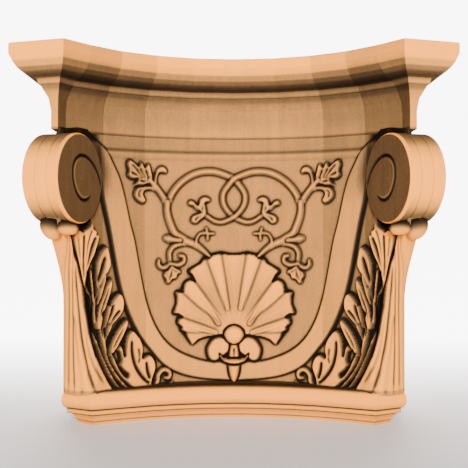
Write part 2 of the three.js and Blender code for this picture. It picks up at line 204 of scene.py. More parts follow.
class Relief:
    """Carving heights off the skin over a grid of (along, level) points."""

    def __init__(self, along, level):
        self.along, self.level = np.meshgrid(along, level)
        self.height = np.zeros_like(self.along)
        self.paint = np.zeros_like(self.along)  # extra painted shade laid by a motif
        self.painted_facet_shade = painted_shade_of_facet(np.minimum(self.along // FACET_LENGTH, 4))

    def window(self, curve, margin):
        """The part of the grid within a margin of a curve's box."""
        low = curve[:, :2].min(0) - margin
        high = curve[:, :2].max(0) + margin
        columns = np.searchsorted(self.along[0], [low[0], high[0]])
        rows = np.searchsorted(self.level[:, 0], [low[1], high[1]])
        return slice(rows[0], rows[1] + 1), slice(columns[0], columns[1] + 1)

    def lay(self, points, rise, section=stem, gap=0.9, cut=0.6):
        """A stroke through (along, level, half width): height moves from the ground to rise by its
        section, once the ground in a narrow gap round it has been cut back."""
        curve = curve_through(points)
        box = self.window(curve, curve[:, 2].max() + gap + 1)
        if self.height[box].size == 0:
            return
        distance, _, half, part = nearest(curve, self.along[box], self.level[box])
        half = np.maximum(half, 0.2)
        beside = smooth(1 - (distance - half) / gap)
        ground = self.height[box] - cut * beside * np.maximum(self.height[box], 0)
        blend = np.where(distance < half, section(distance / half, half, part), 0)
        self.height[box] = ground + blend * (rise - ground)

    def leaf(self, outline, rise, rim=1.0, hollow=0.22, gap=1.0, cut=0.6, curved=True):
        """A leaf inside a closed outline: it climbs over its rim's width, then dips to a shallow hollow."""
        loop = np.asarray(outline, float)
        if curved:
            loop = curve_through(loop, closed=True, per_span=4)
        else:
            loop = np.vstack([loop, loop[:1]])
        box = self.window(loop, gap + 1)
        if self.height[box].size == 0:
            return
        distance, inside = self.loop_distance(loop, box)
        beside = smooth(1 - np.where(inside, 0, distance) / gap)
        ground = self.height[box] - cut * beside * np.maximum(self.height[box], 0)
        blend = smooth(distance / rim) * (1 - hollow * smooth((distance - rim) / 2.5))
        self.height[box] = ground + np.where(inside, blend, 0) * (rise - ground)

    def loop_distance(self, loop, box):
        """Distance to a closed loop, and whether a point is inside, by counting crossings."""
        x, y = self.along[box], self.level[box]
        distance, _, _, _ = nearest(loop, x, y)
        ax, ay = loop[:-1, 0], loop[:-1, 1]
        bx, by = loop[1:, 0], loop[1:, 1]
        spans = (ay > y[..., None]) != (by > y[..., None])
        rise = np.where(by == ay, 1e-9, by - ay)
        crossing = ax + (y[..., None] - ay) * (bx - ax) / rise
        inside = (spans & (x[..., None] < crossing)).sum(-1) % 2 == 1
        return distance, inside

    def groove(self, points, depth, sharp=2.0):
        """A cut along (along, level, half width): depth x exp(-(distance / half width)^sharp),
        fading out over the first and last tenth."""
        curve = curve_through(points)
        box = self.window(curve, 2.5 * curve[:, 2].max())
        if self.height[box].size == 0:
            return
        distance, _, half, part = nearest(curve, self.along[box], self.level[box])
        ends = smooth(part / 0.1) * smooth((1 - part) / 0.1)
        self.height[box] -= depth * np.exp(-((distance / half) ** sharp)) * ends

    def blurred(self, spread):
        """Heights averaged by a bell curve, with each row and column weighted to a sum of one."""

        def weights(values):
            pull = bell(values[:, None] - values[None, :], math.sqrt(2) * spread)
            return pull / pull.sum(1, keepdims=True)

        return weights(self.level[:, 0]) @ self.height @ weights(self.along[0]).T


# ---------------------------------------------------------- carved motifs

BAND_INNER = [
    (118, 206), (106.8, 201), (99.8, 196), (93.8, 186), (88.8, 176), (84.8, 163), (80.2, 143.5),
    (76.8, 132), (72.8, 112.5), (68.2, 91.5), (62.2, 73), (53.2, 58), (40.8, 48), (23.8, 41.5),
    (12, 40.3), (0, 40), (-12, 40.3),
]
BAND_OUTER = [
    (118, 190), (110, 183), (105.8, 175.5), (103.2, 163.5), (97.8, 141.5), (89.8, 102), (83.2, 81.5),
    (74.8, 64.5), (64.8, 51.5), (53.2, 38.5), (39.2, 31), (23.8, 27.5), (6.2, 26), (0, 25.5), (-12, 26),
]
BAND_RISE = 1.7
GROUND_DEPTH = 0.9


def carve_neck(relief):
    """A recessed strip above, a dark step, and a strip leaning out below it, all round the front."""
    levels = [190.4, 191.6, 194.6, 195.4, 196.4, 197.4, 198.6, 210]
    heights = [0.0, 0.3, 0.8, 0.4, -0.4, -0.7, -0.5, -0.5]
    profile = np.interp(relief.level, levels, heights)
    relief.height = np.where(relief.level > NECK_LEVEL, profile, relief.height)


def carve_band(relief):
    """The raised U: between its two edges it stands proud, and outside it the ground falls away.
    High up it rises on to the flat of the volute's face. A line is cut along the inner edge, a trench
    along the outer one, and both the trench and the rise towards the volute get extra painted shade."""
    inner_edge = curve_through([(*p, 1) for p in BAND_INNER], per_span=4)
    outer_edge = curve_through([(*p, 1) for p in BAND_OUTER], per_span=4)
    inner, inner_side, _, _ = nearest(inner_edge, relief.along, relief.level)
    outer, outer_side, _, _ = nearest(outer_edge, relief.along, relief.level)
    past_inner = inner * inner_side
    past_outer = outer * outer_side
    below_neck = relief.level < NECK_LEVEL
    sunk = GROUND_DEPTH * smooth((relief.level - 26) / 40)
    outside = smooth(past_outer / 1.6)
    relief.height = np.where(below_neck, relief.height - sunk * outside, relief.height)
    on_band = smooth(past_inner / 0.8) * smooth(-past_outer / 0.8)
    plane, rearward, up = volute_face_height(relief)
    behind_disc = smooth((VOLUTE_RADIUS - np.hypot(rearward, up)) / 0.8)
    rise = np.where(plane > BAND_RISE, np.minimum(plane, 12) - 0.25 * behind_disc, BAND_RISE)
    rise = np.where(relief.level > 150, rise, BAND_RISE)
    # Painted shade on the band near the volute's disc, where it rises, and higher up.
    near_disc = 0.3 * smooth((VOLUTE_RADIUS + 12 - np.hypot(rearward, up)) / 14)
    near_disc = near_disc * smooth((relief.level - 148) / 34)
    near_disc += 0.066 * np.clip(np.minimum(rise, 5) - BAND_RISE, 0, 5)
    near_disc += 0.08 * smooth((relief.level - 146) / 40)
    relief.paint += on_band * near_disc
    relief.height += on_band * (rise - relief.height)
    line = 0.7 * bell(inner + 0.1, 0.45) * (relief.level < 196)
    relief.height -= line
    above_foot = smooth((relief.level - 42) / 40)
    trench = 0.8 * bell(past_outer - 1.0, 0.7)
    relief.height -= trench * above_foot * smooth((186 - relief.level) / 10)
    # Painted shade along the trench outside the band.
    trench_shade = 0.6 * bell(past_outer - 0.7, 0.65)
    relief.paint += trench_shade * above_foot * below_neck
    lip = 0.4 * bell(past_outer - 0.3, 0.5) * below_neck
    relief.height -= lip


def painted_shade_of_facet(index):
    """Painted shade, darker on the facets that turn inwards: a value for each facet from the middle out."""
    return np.interp(index, [0, 1, 2, 3, 4], [0, 0.005, 0.05, 0.10, 0.10])


def volute_face_height(relief):
    """How far the plane of the volute's inner face stands off the skin, and the place on that plane."""
    plan = skin_plan(relief.along, relief.level)
    normal = skin_normal(relief.along, relief.level)
    cos, sin = math.cos(VOLUTE_TURN), math.sin(VOLUTE_TURN)
    facing = np.array([-cos, sin])
    gap = (VOLUTE_CENTRE[:2] - plan) @ facing
    height = gap / np.maximum(normal @ facing, 0.2)
    place = plan + normal * height[..., None] - VOLUTE_CENTRE[:2]
    return height, -(place @ np.array([sin, cos])), relief.level - VOLUTE_CENTRE[2]


RING_FAR = [
    (-20, 182.5, 2.5), (-13, 182, 2.5), (-4, 179, 2.5), (0, 177, 2.5), (4, 172.5, 2.5), (8, 166.5, 2.4),
    (8.4, 160, 2.4), (6, 154.5, 2.3), (2, 150, 2.2), (0, 148.5, 2.2), (-5, 146, 2.1), (-10, 144.5, 2),
]
RING_NEAR = [
    (51, 157, 2.8), (47.5, 165.5, 2.8), (41.5, 173, 2.8), (34, 178.5, 2.8), (27, 181.5, 2.8),
    (20, 182.5, 2.8), (13, 182, 2.8), (4, 179, 2.6), (0, 177, 2.5), (-4, 172.5, 2.5), (-8, 166.5, 2.4),
]
RING_TAIL = [
    (-6, 154.5, 2.3), (-2, 150, 2.2), (0, 148.5, 2.2), (5, 146, 2.1), (10, 144.5, 2), (15, 145.5, 1.9),
    (19, 148, 1.8), (22.5, 150.5, 1.9), (25, 154, 1.2),
]
STEM_RISE = 2.7


def carve_rings(relief, near_on_top):
    """Two crossed rings, which pass over and under each other in turn."""
    order = [RING_TAIL, RING_FAR, RING_NEAR] if near_on_top else [RING_NEAR, RING_FAR, RING_TAIL]
    for path in order:
        relief.lay(path, STEM_RISE, stem, gap=0.8, cut=0.75)


UPPER_LEAF = [
    (82, 190), (78.8, 189), (76.2, 187.2), (74.2, 185.6), (72.2, 189), (70.2, 187.5), (68.8, 185),
    (65.8, 188.2), (64.2, 186), (63.2, 182), (62, 176), (62.2, 172), (66.2, 172.4), (70.2, 171),
    (74.2, 171), (79.2, 170.3), (76.4, 173.5), (75, 176), (77.8, 175.5), (81, 176), (83.6, 178.5),
    (82.6, 182), (84, 186.5),
]
UPPER_CURL = [
    (61.6, 172), (61.4, 178.5), (60, 183), (57.2, 185.8), (53.2, 185.8), (50.6, 182.5), (51.6, 180),
    (54.2, 180.5), (57, 180.5), (58.6, 176.5), (58.6, 172),
]
LOWER_CURL = [
    (61, 171), (65.8, 171.4), (70.2, 171), (75.2, 170), (78, 166.5), (77.8, 162.5), (74.2, 159),
    (69.8, 157.6), (67, 160), (68, 162.5), (69.4, 165), (67.8, 167.2), (64, 167.8), (60, 166.6),
]
SMALL_LEAF = [
    (25.8, 151.8), (28.8, 153.5), (31.8, 156.2), (35, 157.3), (35.2, 160), (32.8, 161.4), (29.8, 160.2),
    (27.4, 157.6), (26, 162.3), (21.8, 164.2), (17.6, 162.2), (17.8, 159.8), (21, 159), (21.2, 156.2),
    (20.4, 152), (22, 148.4), (25.4, 145.6), (28.6, 143), (32.6, 144.2), (33, 147.5), (31, 150),
]
LOW_LEAF = [
    (46.6, 112), (44.2, 110.6), (40.8, 109), (39.8, 106.5), (42.8, 105.3), (43.6, 102.3), (47.2, 101.6),
    (49.2, 98.8), (52.4, 99.2), (52.8, 102), (54.6, 104.6), (53.4, 107.8), (50.6, 109.4), (49, 112),
]


def carve_vine(relief):
    """The stems outside the rings, with their curls, buds, leaves and flowers."""
    leaf_rise = 2.5
    relief.leaf(UPPER_CURL, leaf_rise, rim=1.5, hollow=0.1)
    relief.leaf(LOWER_CURL, leaf_rise, rim=1.6, hollow=0.15)
    relief.groove([(62, 176, 0.6), (60, 181, 0.7), (55, 183.4, 0.6)], 0.8)
    relief.groove([(68, 169.4, 0.6), (73.4, 167, 0.8), (73.6, 162, 0.7)], 0.9)
    relief.leaf(UPPER_LEAF, 3.0, rim=1.3, hollow=0.3)
    veins = [
        [(79.8, 187, 0.5), (74.6, 181.6, 0.7), (69, 176, 0.6)],
        [(81, 181, 0.5), (75.6, 178.8, 0.6), (70.4, 176, 0.5)],
        [(74.4, 186, 0.6), (71.2, 181, 0.7), (67.6, 176.4, 0.6)],
        [(68.8, 185.4, 0.6), (67.4, 181, 0.7), (65.8, 176, 0.6)],
        [(75.4, 175.8, 0.6), (70.6, 174.6, 0.7), (66.4, 174.4, 0.6)],
    ]
    for vein in veins:
        relief.groove(vein, 1.3)
    stems = [
        [(51, 157, 2.7), (53.5, 162, 2.6), (57, 167, 2.6), (61, 171.6, 2.7), (65, 175.6, 1.6)],
        [(28, 127.5, 2.2), (36, 128.8, 2.2), (42, 128, 2.2), (46.6, 126, 2.2), (49.2, 122.3, 2.2),
         (49.3, 118, 2.1), (48.5, 112, 1.9)],
        [(17, 117.4, 1.4), (24, 124, 2.4), (30, 128, 2.9), (36, 130.6, 3.1), (40, 133, 3.1),
         (45, 136.2, 3.1), (48, 142, 3.1), (50.3, 148.5, 3.0), (51.2, 154, 2.8), (51, 159, 2.6)],
        [(41, 131, 1.8), (46, 131.4, 2.4), (50, 132.2, 3.3), (52.4, 132.6, 2.4)],
        [(49, 114, 1.7), (51.3, 111.8, 1.9), (55, 110.8, 2), (57.8, 113, 1.9), (57.6, 116.4, 1.5)],
        [(49, 113.6, 1.8), (46, 112.9, 2.0), (42, 112.9, 2.1), (38.2, 115.2, 2.1), (38.4, 118.8, 2.0),
         (41.4, 119.6, 1.7)],
    ]
    for path in stems:
        relief.lay(path, STEM_RISE, stem, gap=0.9, cut=0.6)
    relief.leaf(SMALL_LEAF, leaf_rise, rim=1.4, hollow=0.3)
    relief.leaf(LOW_LEAF, leaf_rise, rim=1.3, hollow=0.3)
    small_veins = [
        [(24, 151, 0.6), (28, 154.6, 0.6), (32.4, 158, 0.4)],
        [(24.4, 151, 0.6), (23.4, 156, 0.6), (21.4, 160, 0.5)],
        [(24.4, 150.4, 0.6), (27.6, 148.2, 0.6), (29.4, 145, 0.5)],
        [(47.6, 110, 0.5), (48.4, 105, 0.6), (50.4, 100.8, 0.4)],
        [(47.4, 109.8, 0.5), (44, 107.4, 0.5), (41.8, 106.6, 0.4)],
        [(48, 110, 0.5), (50.6, 107, 0.5), (52.6, 105.4, 0.4)],
    ]
    for vein in small_veins:
        relief.groove(vein, 1.0)
    flower = [
        [(28.5, 127, 1), (28.2, 132, 1.1), (26, 135.6, 1.1), (23, 136.4, 1.1), (20, 136.2, 1.1)],
        [(20, 136.2, 1), (21, 140, 1.2)],
        [(20.4, 136.2, 1), (15.4, 136, 1.2)],
        [(20, 136, 1), (20, 131.6, 1.2)],
    ]
    for path in flower:
        relief.lay(path, 1.9, domed, gap=0.6, cut=0.5)


SHELL_HINGE = 60
SHELL_OUTLINE = [
    (0, 120.4), (5, 120.7), (10.1, 121.6), (12.4, 121.0), (15.9, 120.4), (18.6, 117.6), (22.7, 117.9),
    (25.4, 114), (29.4, 111.7), (35.5, 107.9), (31.8, 105), (29.7, 100.5), (33.6, 101.6), (37.1, 100.2),
    (38.7, 97.4), (39.3, 93.4), (45.2, 92.7), (44.2, 88.4), (44.1, 84.3), (47.3, 76.3), (43.4, 76.6),
    (40.5, 74.6), (43, 72.6), (43.6, 69.6), (40.3, 66.4), (41, 64.2), (38.4, 62.6), (31.7, 52.2),
    (27, 56.6), (21.9, 58.5), (10.1, 59.8), (0, 58),
]


def carve_shell(relief):
    """A scallop: ribs fan out from the hinge, hollow across, where across runs from -1 to 1. A broad
    rib stands 1.5 + 3.7 across^2 and a narrow one 3.6 + 1.6 across^2, reached over the first part of
    the radius, and the seams between them are cut and darkened with painted shade."""
    mirrored = [(-x, z) for x, z in SHELL_OUTLINE[:0:-1]]
    loop = np.array(SHELL_OUTLINE + mirrored + SHELL_OUTLINE[:1])
    box = relief.window(loop, 3)
    distance, inside = relief.loop_distance(loop, box)
    x, up = relief.along[box], relief.level[box] - SHELL_HINGE
    angle = np.degrees(np.arctan2(np.abs(x), up))
    radius = np.hypot(x, up)
    reach = np.clip(radius / 58, 0, 1)
    bounds = [-9.3, 9.3, 20.6, 36.4, 51.6, 71.2, 86, 125]
    broad = [True, False, True, False, True, False, True]
    face = np.zeros_like(angle)
    for low, high, wide in zip(bounds[:-1], bounds[1:], broad):
        part = np.clip((angle - low) / (high - low), 0, 1)
        across = 2 * part - 1
        hollow = 1.5 + 3.7 * across**2 if wide else 3.6 + 1.6 * across**2
        face = np.where((angle >= low) & (angle < high), hollow, face)
    lift = 2.4 + (face - 2.4) * smooth(reach * 1.25) + 1.5 * reach
    seam = np.min([np.abs(angle - edge) for edge in bounds], axis=0) * np.radians(1) * radius
    lift -= 0.9 * bell(seam, 0.9) * smooth(reach * 1.6)
    # Painted shade along the seams; the rest of the shell is painted a little lighter.
    seam_shade = 0.5 * bell(seam, 1.5) * smooth(reach * 1.4) - 0.07
    relief.paint[box] += np.where(inside, 1, 0) * seam_shade
    edge = smooth(distance / 0.7)
    ground = relief.height[box]
    relief.height[box] = ground + np.where(inside, edge, 0) * (lift - ground)
    beads = [
        [(13.3, 117.0, 1.6), (11.8, 110, 1.5), (8, 94, 1.1), (5.2, 80, 0.7)],
        [(32.8, 97.6, 1.9), (27.5, 90.5, 1.7), (19, 79, 1.2), (12, 69, 0.7)],
        [(35.8, 69.6, 1.9), (29, 67.4, 1.8), (21, 64.4, 1.2), (14, 62, 0.7)],
    ]
    for bead in beads:
        relief.lay([(s, z, w + 1.1) for s, z, w in bead], 5.4, rimmed, gap=0.3, cut=0)


def carve_pendant(relief):
    """The hinge ball, two cheeks below it, and a crescent ring with a drop hanging through it."""
    cheek = [
        (3, 56), (7, 58.6), (11.5, 59.8), (17, 57.6), (21.3, 51), (21, 45), (18.5, 40.8), (14, 39.8),
        (9, 43), (3, 48),
    ]
    relief.leaf(cheek, 4.2, rim=2.4, hollow=0)
    drop = [
        (0, 54.5, 2.4), (0, 52, 3.4), (0, 46, 4.4), (0, 37.6, 5), (0, 30, 3.9), (0, 25, 1.6), (0, 22.6, 0.3),
    ]
    relief.lay(drop, 6.4, domed)
    relief.groove([(0, 50.5, 0.9), (0, 46.5, 1.5), (0, 43.5, 1.7)], 2.6)
    crescent = [
        (11.4, 46.4), (10.8, 42.6), (8.8, 39.6), (4, 38.1), (0, 37.9), (-4, 38.1), (-8.8, 39.6),
        (-10.8, 42.6), (-11.4, 46.4), (-8.6, 43.9), (-4, 43.3), (0, 43.2), (4, 43.3), (8.6, 43.9),
    ]
    relief.leaf(crescent, 8.2, rim=1.7, hollow=0, curved=False)
    x, up = relief.along / 8.3, (relief.level - SHELL_HINGE - 0.2) / 7.2
    size = np.sqrt(x**2 * (1 + 0.25 * np.clip(-up, 0, 1)) + up**2)
    dome = 4.6 + 3.4 * np.sqrt(np.clip(1 - size**2, 0, 1))
    ring = smooth(1 - (size - 1) * 7 / 0.9)
    relief.height = relief.height - 0.5 * ring * relief.height
    on_ball = smooth((1 - size) * 7 / 0.7)
    relief.height += on_ball * (dome - relief.height)


def carve_acanthus(relief):
    """The acanthus leaf on the corner: a folded blade sweeping up from the base, with lobes towards the
    band."""
    rise = 5.6
    body = [
        (142, 170), (137.5, 146), (133.6, 128), (127, 113.5), (121.6, 100), (119.6, 84), (115, 68), (109, 50),
        (101, 34), (91, 20), (170, 10), (170, 170),
    ]
    relief.leaf(body, 5.2, rim=1.6, hollow=0, curved=False)
    lobe_one = [
        (120.2, 96), (118.6, 104), (116.2, 112), (112, 121.5), (109.2, 131), (108.4, 137.4),
        (111.2, 135.4), (110.6, 140.2), (113.4, 139), (116.2, 146.8), (119.4, 141.6), (123.6, 137.4),
        (127, 139), (130.6, 138.6), (133.6, 134), (131.6, 126), (126.4, 113.5), (122, 100),
    ]
    relief.leaf(lobe_one, rise, rim=1.1, hollow=0.15)
    relief.groove([(123, 137, 0.8), (122.6, 125, 1.0), (122.2, 114, 1.1), (120, 98, 1.1)], 2.2)
    relief.groove([(114.6, 141, 0.6), (118.6, 129.5, 0.8), (120, 114, 0.9)], 1.5)
    relief.groove([(111.4, 135, 0.8), (116, 123, 1.4), (119.4, 106, 1.2)], 2.4)
    relief.groove([(128.6, 134.5, 0.7), (126.2, 122, 0.9), (122.6, 106, 0.8)], 1.1)
    lobe_two = [
        (101.2, 127.2), (105.6, 125), (109, 120.5), (111, 114), (110.8, 105), (110.6, 96), (112.6, 84),
        (112, 72), (106, 66), (107.6, 80), (105.6, 92), (102.4, 102), (100.2, 108.5), (97.8, 113.5),
        (99, 121),
    ]
    relief.leaf(lobe_two, rise, rim=1.2, hollow=0.12)
    fold_two = [(102.8, 121, 0.8), (105.6, 112, 1.4), (108.4, 103, 1.5), (109.8, 90, 1.2), (110, 76, 1.0)]
    relief.groove(fold_two, 3.6)
    relief.groove([(101.6, 108.6, 0.7), (104.8, 103.4, 1.0), (107.6, 97, 0.9)], 1.8)
    leaf_three = [(108.6, 70, 2.4), (106.4, 82, 3), (102.4, 92, 3.2), (99, 99.4, 2.4), (97, 104, 0.6)]
    relief.lay(leaf_three, rise, creased)
    relief.lay([(111.8, 88, 1.0), (112.8, 97, 1.2), (114.2, 106, 1.2), (114.4, 110, 0.5)], 4.6, domed, cut=0.2)
    lobe_four = [
        (90.2, 93.6), (93.6, 92), (96.8, 88.2), (98.2, 85.4), (100.6, 84.8), (102.4, 78), (104.6, 70),
        (106, 60), (104, 50), (100.4, 54), (99.6, 63), (96.6, 69.6), (92, 74.6), (88.4, 79), (86.8, 84),
        (87.4, 89.8),
    ]
    relief.leaf(lobe_four, rise, rim=1.3, hollow=0.1)
    relief.groove([(95.6, 87, 0.7), (97.6, 80, 1.3), (101, 70, 1.3), (103, 60, 1.0)], 3.2)
    relief.groove([(90.6, 81.4, 0.7), (95, 76.4, 1.0), (99.4, 70, 0.9)], 2.4)
    leaf_five = [
        (86, 25, 0.9), (94.4, 35, 1.1), (97.4, 43, 1.4), (97.4, 50, 2.1), (94.4, 57.6, 3.3),
        (89.6, 65.6, 3.3), (85.8, 71.4, 2.2), (84.4, 74.2, 0.6),
    ]
    relief.lay(leaf_five, rise, creased)
    leaf_six = [
        (80.2, 66.4), (76.2, 63), (72.6, 58), (70.8, 52), (71.8, 45.8), (68.6, 46.8), (64.8, 47.4),
        (61, 43), (60.2, 37), (62.4, 31), (63.4, 26), (61, 20), (80, 20), (88, 26), (94.6, 34), (98, 42),
        (96.6, 50.4), (94, 46), (91.2, 42.6), (89.6, 45), (90.6, 50), (92.8, 52.8), (89.8, 56.6),
        (87.8, 52.4), (86.8, 48), (86.4, 55), (84.6, 62.8),
    ]
    relief.leaf(leaf_six, rise - 0.4, rim=1.3, hollow=0.1)
    relief.groove([(81, 60, 0.7), (80.5, 49, 1.1), (77.4, 39, 1.3), (71.6, 31, 1.3), (63.6, 25, 1.0)], 2.6)
    relief.groove([(75.6, 53, 0.6), (74.6, 46, 0.8), (76, 41, 0.7)], 1.4)
    relief.groove([(68.6, 42.6, 0.8), (67.4, 36, 1.3), (65.4, 29, 1.2)], 2.6)
    folds = [
        ([(119.4, 97, 1.5), (116.4, 84.5, 2.1), (113.4, 69.5, 2.2), (108, 49.5, 2.2), (100.4, 34, 2.2),
          (91, 21, 2)], 4.2),
        ([(109.8, 62, 1.1), (106.4, 53, 1.8), (102, 44.5, 1.9), (94.8, 33.5, 1.9), (84.6, 21, 1.8)], 4.0),
        ([(106.4, 84, 0.9), (104, 74, 1.2), (102.4, 62, 1.5), (100, 50, 1.7), (95.8, 39.5, 1.8),
          (88, 30, 1.8), (78, 20, 1.7)], 4.0),
        ([(117.2, 110, 1.2), (117.2, 103, 1.9), (115.6, 96, 1.9), (113.6, 92, 1.2)], 4.4),
        ([(94.4, 54, 0.9), (93.6, 46, 1.1), (89.6, 38.6, 1.3), (84.6, 33.4, 1.9), (82.4, 32.2, 1.3)], 4.8),
    ]
    for path, depth in folds:
        relief.groove(path, depth, 3)
    outer_ridge = [
        (112.5, 66, 0.6), (111, 62, 1), (107.8, 53, 1.1), (104.2, 45, 1.1), (97.5, 33.5, 1.1),
        (87.8, 21, 1.1),
    ]
    relief.lay(outer_ridge, 5.4, domed, gap=0.1, cut=0)
    inner_ridge = [
        (108, 72, 0.6), (106, 62, 1), (103.5, 53, 1.1), (100, 44.5, 1.1), (93, 33.5, 1), (81.6, 21, 1),
    ]
    relief.lay(inner_ridge, 5.2, domed, gap=0.1, cut=0)
    creases = [
        ([(133, 134, 0.9), (129.4, 110, 1.1), (125.8, 88, 1.2), (121.8, 59.5, 1.3), (116.2, 40, 1.5),
          (109, 20, 1.5)], 2.0),
        ([(129.8, 80, 1.4), (128, 60, 1.8), (124, 40, 2.2), (121, 20, 2.2)], 1.1),
        ([(134.6, 146, 1.3), (132.8, 124, 1.2), (131.4, 90, 1.0), (131, 60, 1.0), (129, 20, 1.0)], 1.6),
        ([(139, 150, 1.6), (137.4, 130, 1.6), (136.4, 90, 1.6), (137, 50, 1.6), (137, 20, 1.6)], 1.6),
        ([(143.8, 150, 1.8), (141.6, 120, 1.8), (141.4, 80, 1.8), (142, 20, 1.8)], 1.3),
        ([(125.6, 100, 0.9), (121.4, 78, 1.3), (117, 58, 1.3), (111, 41, 1.1), (103, 27, 1.0)], 1.2),
    ]
    for path, depth in creases:
        relief.groove(path, depth)
    scroll = [
        (64, 22, 1.6), (59, 26.4, 1.9), (58, 32, 2), (54, 35.6, 2), (49.6, 33.6, 1.9), (49.8, 29.6, 1.7),
        (53, 29.4, 1.3),
    ]
    relief.lay(scroll, 2.6, domed)
    relief.lay([(60, 22, 1.4), (52.6, 23.6, 1.5), (47, 26, 0.8)], 2.2, domed)


def soften(relief, spread=0.42):
    """The edges' sharpness after sanding: heights averaged over less than half a millimetre."""
    relief.height = relief.blurred(spread)


def relief_of_half(near_on_top):
    """The whole front's carving from the middle to the corner."""
    along = np.linspace(0, CORNER_END, int(CORNER_END / COLUMN_STEP))
    level = np.linspace(BODY_BOTTOM, BODY_TOP, int((BODY_TOP - BODY_BOTTOM) / ROW_STEP))
    relief = Relief(along, level)
    carve_neck(relief)
    carve_band(relief)
    carve_acanthus(relief)
    carve_rings(relief, near_on_top)
    carve_vine(relief)
    carve_shell(relief)
    carve_pendant(relief)
    soften(relief)
    return relief


# ----------------------------------------------------------------- meshes


def make_piece(name, points, faces, hollow, sharp, painted_facet_shade=None, flat_ends=0, poles=0):
    """A closed mesh with its faces outwards, and edges sharp past an angle in degrees. Each face corner's
    hollow value, its painted shade, is its point's value, or the poles' own, plus its face's painted facet
    shade.
    flat_ends is the number of points a ring: where it is given, one flat face replaces the fan at each end."""
    faces = np.asarray(faces)
    a, b, c = (points[faces[:, i]] for i in range(3))
    d = points[faces[:, -1]]
    volume = (np.cross(a, b) * c).sum() + (np.cross(a, c) * d).sum()
    turned = volume < 0
    if turned:
        faces = faces[:, ::-1]
    mesh = bpy.data.meshes.new(name)
    rows = [row if row[2] != row[3] else row[:3] for row in faces.tolist()]
    rows = [row if row[0] != row[1] else row[1:] for row in rows]
    if flat_ends:
        points = points[:-2]
        first, last = list(range(flat_ends))[::-1], list(range(len(points) - flat_ends, len(points)))
        rows = rows[:-2 * flat_ends] + ([first[::-1], last[::-1]] if turned else [first, last])
    mesh.from_pydata((points / MM_PER_METRE).tolist(), [], rows)
    corners = np.zeros(len(mesh.loops), np.int32)
    mesh.loops.foreach_get("vertex_index", corners)
    values = np.append(hollow, [poles, poles])[corners]
    if painted_facet_shade is not None:
        values = values + np.repeat(painted_facet_shade, [len(row) for row in rows])
    # The hollow value is painted shade, lower where a painted highlight is laid; the material darkens with it.
    attribute = mesh.attributes.new("hollow", "FLOAT", "CORNER")
    attribute.data.foreach_set("value", np.clip(values, 0, 1).astype(np.float32))
    mesh.shade_smooth()
    mesh.set_sharp_from_angle(angle=math.radians(sharp))
    piece = bpy.data.objects.new(name, mesh)
    bpy.context.scene.collection.objects.link(piece)
    return piece


def closed_skin(rings, first_pole, last_pole):
    """Points and faces of a closed skin: rings of equal count joined in order, with a fan to a pole at
    each end."""
    levels, count, _ = rings.shape
    points = np.vstack([rings.reshape(-1, 3), [first_pole], [last_pole]])
    index = np.arange(levels * count).reshape(levels, count)
    here, turned = index[:-1], np.roll(index[:-1], -1, axis=1)
    above, above_turned = index[1:], np.roll(index[1:], -1, axis=1)
    sides = np.stack([here, turned, above_turned, above], -1).reshape(-1, 4)
    first, last = index[0], index[-1]
    pole = np.full(count, levels * count)
    start = np.stack([np.roll(first, -1), first, pole, pole], -1)
    end = np.stack([last, np.roll(last, -1), pole + 1, pole + 1], -1)
    return points, np.vstack([sides, start, end])


def to_space(plan, level):
    """Points from (across, forward) and level."""
    return np.stack([plan[..., 0], PANEL_Y - plan[..., 1], np.broadcast_to(level, plan.shape[:-1])], -1)


